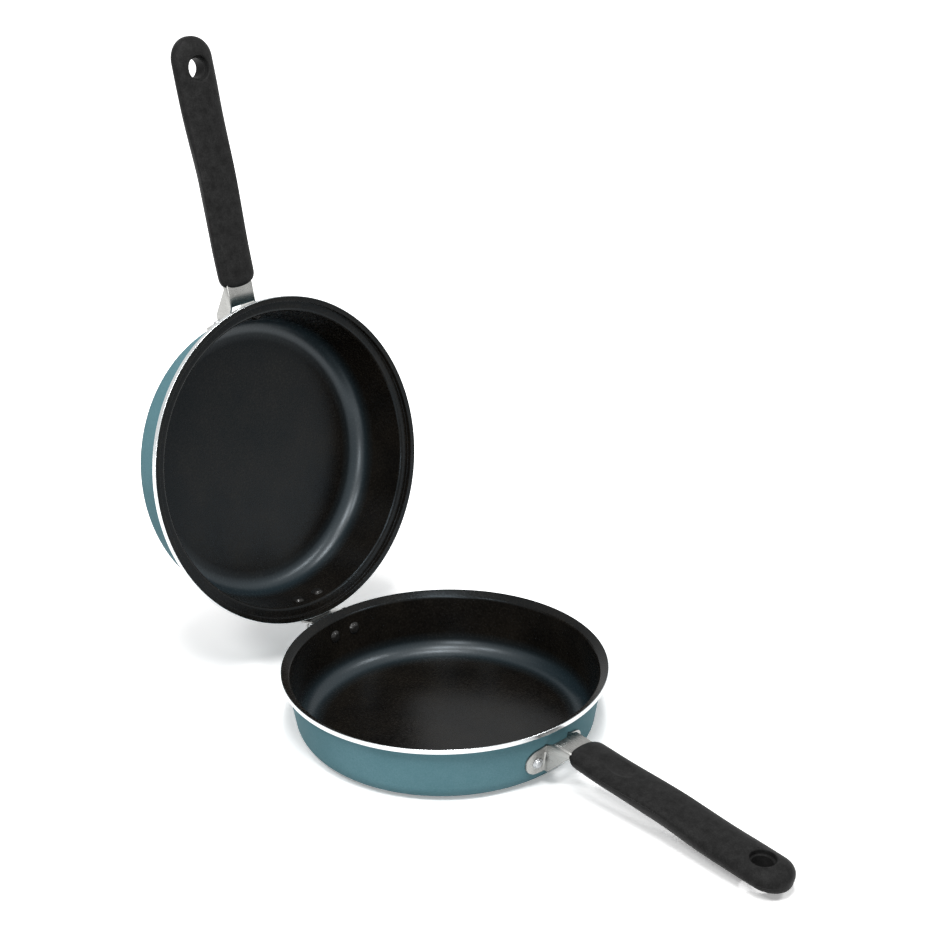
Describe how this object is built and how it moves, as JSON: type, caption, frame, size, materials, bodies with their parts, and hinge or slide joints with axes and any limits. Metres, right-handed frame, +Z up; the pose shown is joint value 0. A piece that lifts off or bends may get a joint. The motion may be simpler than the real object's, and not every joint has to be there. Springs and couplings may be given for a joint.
{
  "type": "double sided flip pan",
  "caption": "Two round frying pans joined rim to rim by a riveted hinge, each with a bracketed grip, so that one closes over the other and the pair is turned over.",
  "frame": {"origin": "centre of the lower pan's flat base, on its underside", "axes": "+Z up out of the lower pan, +X from the hinge towards the handles, +Y along the hinge axis"},
  "size_m": [0.6003, 0.2536, 0.4802],
  "materials": {
    "enamelled_aluminium": "pressed aluminium, grey-blue satin enamel outside, dark non-stick coating inside and over the lip, bare turned rim edge",
    "stamped_steel": "stamped stainless sheet, finely brushed",
    "rivet_metal": "bare satin",
    "coated_rivet": "dark non-stick coating on the domed head, bare shank",
    "grip_phenolic": "moulded heat resistant phenolic, matte black",
    "screw_steel": "bright plated steel"
  },
  "bodies": {
    "lower_half": {"lower_pan": "enamelled_aluminium", "lower_handle_bracket": "stamped_steel", "lower_bracket_rivet_left": "rivet_metal", "lower_bracket_rivet_right": "rivet_metal", "lower_handle_grip": "grip_phenolic", "lower_handle_screw": "screw_steel", "lower_hinge_leaf": "stamped_steel", "lower_hinge_rivet_left": "coated_rivet", "lower_hinge_rivet_right": "coated_rivet", "hinge_pin": "screw_steel", "hinge_pin_washer": "screw_steel"},
    "upper_half": {"upper_pan": "enamelled_aluminium", "upper_handle_bracket": "stamped_steel", "upper_bracket_rivet_left": "rivet_metal", "upper_bracket_rivet_right": "rivet_metal", "upper_handle_grip": "grip_phenolic", "upper_handle_screw": "screw_steel", "upper_hinge_leaf": "stamped_steel", "upper_hinge_rivet_left": "coated_rivet", "upper_hinge_rivet_right": "coated_rivet"}
  },
  "joints": [
    {"name": "upper_pan_hinge", "type": "hinge", "parent": "lower_half", "child": "upper_half", "pos_m": [-0.1306, 0, 0.0395], "axis": [0, 1, 0], "range_deg": [0, 103.1]}
  ]
}
